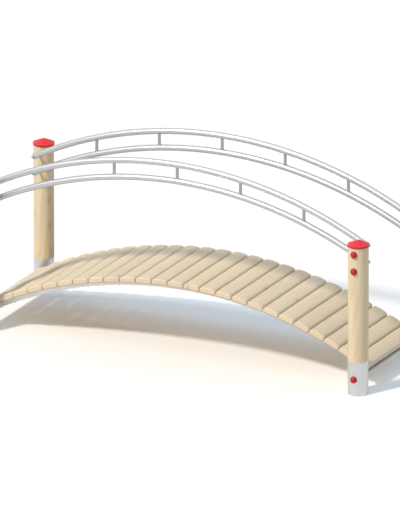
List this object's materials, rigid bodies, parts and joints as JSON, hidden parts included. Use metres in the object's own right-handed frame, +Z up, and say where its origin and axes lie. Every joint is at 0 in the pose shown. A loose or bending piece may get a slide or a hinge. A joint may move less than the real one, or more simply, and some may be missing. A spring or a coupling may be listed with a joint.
{
  "type": "moon bridge",
  "caption": "Arched plank footbridge on curved steel stringers, with curved double-tube railings held by round timber posts in steel foot sleeves.",
  "frame": {"origin": "on the floor under the middle of the arch, centred along and across the walk", "axes": "+X along the walk, +Y across it away from the front railing, +Z up"},
  "size_m": [2.995, 1.145, 1.3829],
  "materials": {
    "deck_pine": "planed, oiled",
    "post_pine": "turned, oiled",
    "rail_steel": "hot-dip galvanised, satin",
    "bearer_steel": "hot-dip galvanised, matt",
    "red_plastic": "moulded, semi-gloss"
  },
  "bodies": {
    "root": {"back_left_foot_sleeve": "bearer_steel", "back_left_post": "post_pine", "back_lower_rail": "rail_steel", "back_right_foot_sleeve": "bearer_steel", "back_right_post": "post_pine", "back_stringer": "bearer_steel", "back_top_rail": "rail_steel", "bolt_covers": "red_plastic", "centre_stringer": "bearer_steel", "end_beams": "bearer_steel", "front_left_foot_sleeve": "bearer_steel", "front_left_post": "post_pine", "front_lower_rail": "rail_steel", "front_right_foot_sleeve": "bearer_steel", "front_right_post": "post_pine", "front_stringer": "bearer_steel", "front_top_rail": "rail_steel", "plank_01": "deck_pine", "plank_02": "deck_pine", "plank_03": "deck_pine", "plank_04": "deck_pine", "plank_05": "deck_pine", "plank_06": "deck_pine", "plank_07": "deck_pine", "plank_08": "deck_pine", "plank_09": "deck_pine", "plank_10": "deck_pine", "plank_11": "deck_pine", "plank_12": "deck_pine", "plank_13": "deck_pine", "plank_14": "deck_pine", "plank_15": "deck_pine", "plank_16": "deck_pine", "plank_17": "deck_pine", "plank_18": "deck_pine", "plank_19": "deck_pine", "plank_20": "deck_pine", "plank_21": "deck_pine", "plank_22": "deck_pine", "plank_23": "deck_pine", "plank_24": "deck_pine", "plank_25": "deck_pine", "post_caps": "red_plastic", "rail_spacers": "rail_steel", "rail_struts": "rail_steel"}
  },
  "joints": []
}
